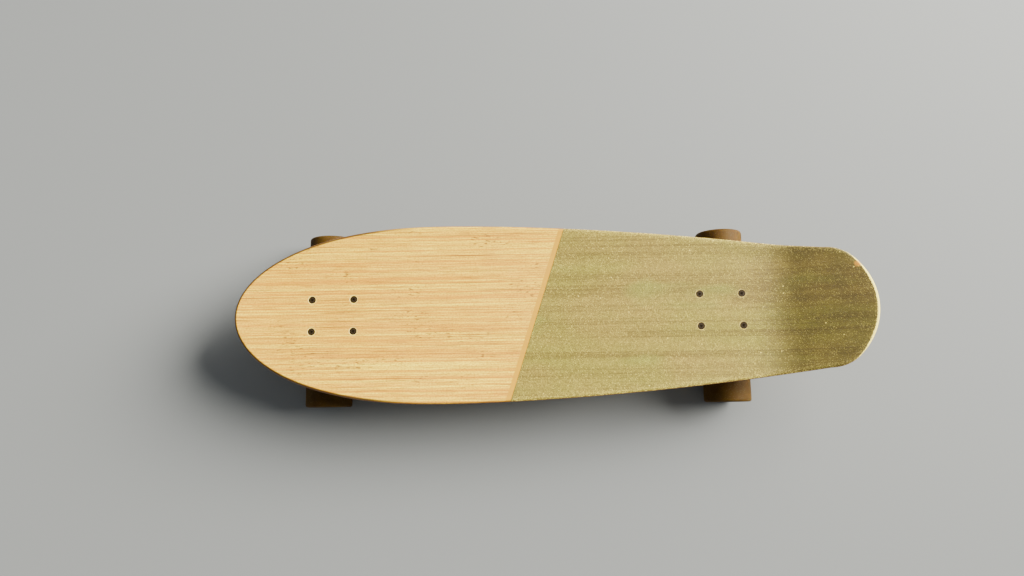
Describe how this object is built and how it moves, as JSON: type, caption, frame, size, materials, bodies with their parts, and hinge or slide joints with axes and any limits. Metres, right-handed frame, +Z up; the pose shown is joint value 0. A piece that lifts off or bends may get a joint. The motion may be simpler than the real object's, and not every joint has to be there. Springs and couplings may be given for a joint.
{
  "type": "kicktail cruiser skateboard",
  "caption": "Kicktail cruiser skateboard: laminated bamboo deck with a grit-coated rear half, sprung kingpin trucks and amber urethane wheels on ball bearings.",
  "frame": {"origin": "on the ground, below the middle of the deck's length", "axes": "+X towards the nose, +Y to the rider's left facing the nose, +Z up"},
  "size_m": [0.8128, 0.233, 0.1367],
  "materials": {
    "bamboo": "satin lacquer over pale lengthwise bamboo strips",
    "core_ply": "sanded veneer edge",
    "grit_coat": "olive translucent grit coat",
    "riser_rubber": "matt black pad",
    "cast_aluminium": "satin tumbled casting",
    "dark_steel": "oiled steel",
    "zinc_steel": "bright zinc plate",
    "black_steel": "black oxide",
    "bearing_steel": "ground and polished",
    "shield_black": "black shield",
    "cage_nylon": "moulded nylon",
    "pivot_urethane": "moulded urethane",
    "bushing_urethane": "translucent amber urethane",
    "wheel_urethane": "amber brown urethane, satin"
  },
  "bodies": {
    "deck": {"bottom_veneer": "bamboo", "ply_2": "core_ply", "ply_3": "core_ply", "ply_4": "core_ply", "ply_5": "core_ply", "ply_6": "core_ply", "top_veneer": "bamboo", "grip_coat": "grit_coat", "front_riser_pad": "riser_rubber", "front_baseplate": "cast_aluminium", "front_pivot_cup": "pivot_urethane", "front_kingpin": "dark_steel", "front_kingpin_nut": "dark_steel", "front_bushing_washers": "zinc_steel", "front_upper_bushing": "bushing_urethane", "front_lower_bushing": "bushing_urethane", "front_deck_bolts": "black_steel", "front_deck_nuts": "black_steel", "rear_riser_pad": "riser_rubber", "rear_baseplate": "cast_aluminium", "rear_pivot_cup": "pivot_urethane", "rear_kingpin": "dark_steel", "rear_kingpin_nut": "dark_steel", "rear_bushing_washers": "zinc_steel", "rear_upper_bushing": "bushing_urethane", "rear_lower_bushing": "bushing_urethane", "rear_deck_bolts": "black_steel", "rear_deck_nuts": "black_steel"},
    "front_hanger_set": {"front_hanger": "cast_aluminium", "front_axle": "zinc_steel", "front_inner_rings": "bearing_steel", "front_bearing_spacers": "zinc_steel", "front_speed_washers": "zinc_steel", "front_axle_nuts": "zinc_steel"},
    "front_left_wheel_set": {"front_left_wheel": "wheel_urethane", "front_left_outer_rings": "bearing_steel", "front_left_bearing_shields": "shield_black"},
    "front_left_ball_set": {"front_left_bearing_balls": "bearing_steel", "front_left_bearing_cages": "cage_nylon"},
    "front_right_wheel_set": {"front_right_wheel": "wheel_urethane", "front_right_outer_rings": "bearing_steel", "front_right_bearing_shields": "shield_black"},
    "front_right_ball_set": {"front_right_bearing_balls": "bearing_steel", "front_right_bearing_cages": "cage_nylon"},
    "rear_hanger_set": {"rear_hanger": "cast_aluminium", "rear_axle": "zinc_steel", "rear_inner_rings": "bearing_steel", "rear_bearing_spacers": "zinc_steel", "rear_speed_washers": "zinc_steel", "rear_axle_nuts": "zinc_steel"},
    "rear_left_wheel_set": {"rear_left_wheel": "wheel_urethane", "rear_left_outer_rings": "bearing_steel", "rear_left_bearing_shields": "shield_black"},
    "rear_left_ball_set": {"rear_left_bearing_balls": "bearing_steel", "rear_left_bearing_cages": "cage_nylon"},
    "rear_right_wheel_set": {"rear_right_wheel": "wheel_urethane", "rear_right_outer_rings": "bearing_steel", "rear_right_bearing_shields": "shield_black"},
    "rear_right_ball_set": {"rear_right_bearing_balls": "bearing_steel", "rear_right_bearing_cages": "cage_nylon"}
  },
  "joints": [
    {"name": "front_steer", "type": "hinge", "parent": "deck", "child": "front_hanger_set", "pos_m": [0.2665, 0, 0.0545], "axis": [0.8721, 0, 0.4893], "range_deg": [-18, 18], "stiffness_Nm_per_rad": 45, "deforming": ["front_upper_bushing", "front_lower_bushing"]},
    {"name": "front_left_spin", "type": "hinge", "parent": "front_hanger_set", "child": "front_left_wheel_set", "pos_m": [0.2995, 0.091, 0.031], "axis": [0, 1, 0], "continuous": true},
    {"name": "front_left_ball_orbit", "type": "hinge", "parent": "front_hanger_set", "child": "front_left_ball_set", "pos_m": [0.2995, 0.091, 0.031], "axis": [0, 1, 0], "continuous": true},
    {"name": "front_right_spin", "type": "hinge", "parent": "front_hanger_set", "child": "front_right_wheel_set", "pos_m": [0.2995, -0.091, 0.031], "axis": [0, 1, 0], "continuous": true},
    {"name": "front_right_ball_orbit", "type": "hinge", "parent": "front_hanger_set", "child": "front_right_ball_set", "pos_m": [0.2995, -0.091, 0.031], "axis": [0, 1, 0], "continuous": true},
    {"name": "rear_steer", "type": "hinge", "parent": "deck", "child": "rear_hanger_set", "pos_m": [-0.2075, 0, 0.0545], "axis": [0.8721, 0, -0.4893], "range_deg": [-18, 18], "stiffness_Nm_per_rad": 45, "deforming": ["rear_upper_bushing", "rear_lower_bushing"]},
    {"name": "rear_left_spin", "type": "hinge", "parent": "rear_hanger_set", "child": "rear_left_wheel_set", "pos_m": [-0.2405, 0.091, 0.031], "axis": [0, 1, 0], "continuous": true},
    {"name": "rear_left_ball_orbit", "type": "hinge", "parent": "rear_hanger_set", "child": "rear_left_ball_set", "pos_m": [-0.2405, 0.091, 0.031], "axis": [0, 1, 0], "continuous": true},
    {"name": "rear_right_spin", "type": "hinge", "parent": "rear_hanger_set", "child": "rear_right_wheel_set", "pos_m": [-0.2405, -0.091, 0.031], "axis": [0, 1, 0], "continuous": true},
    {"name": "rear_right_ball_orbit", "type": "hinge", "parent": "rear_hanger_set", "child": "rear_right_ball_set", "pos_m": [-0.2405, -0.091, 0.031], "axis": [0, 1, 0], "continuous": true}
  ],
  "couplings": [
    {"joint": "front_left_ball_orbit", "follows": "front_left_spin", "ratio": 0.6323},
    {"joint": "front_right_ball_orbit", "follows": "front_right_spin", "ratio": 0.6323},
    {"joint": "rear_left_ball_orbit", "follows": "rear_left_spin", "ratio": 0.6323},
    {"joint": "rear_right_ball_orbit", "follows": "rear_right_spin", "ratio": 0.6323}
  ]
}
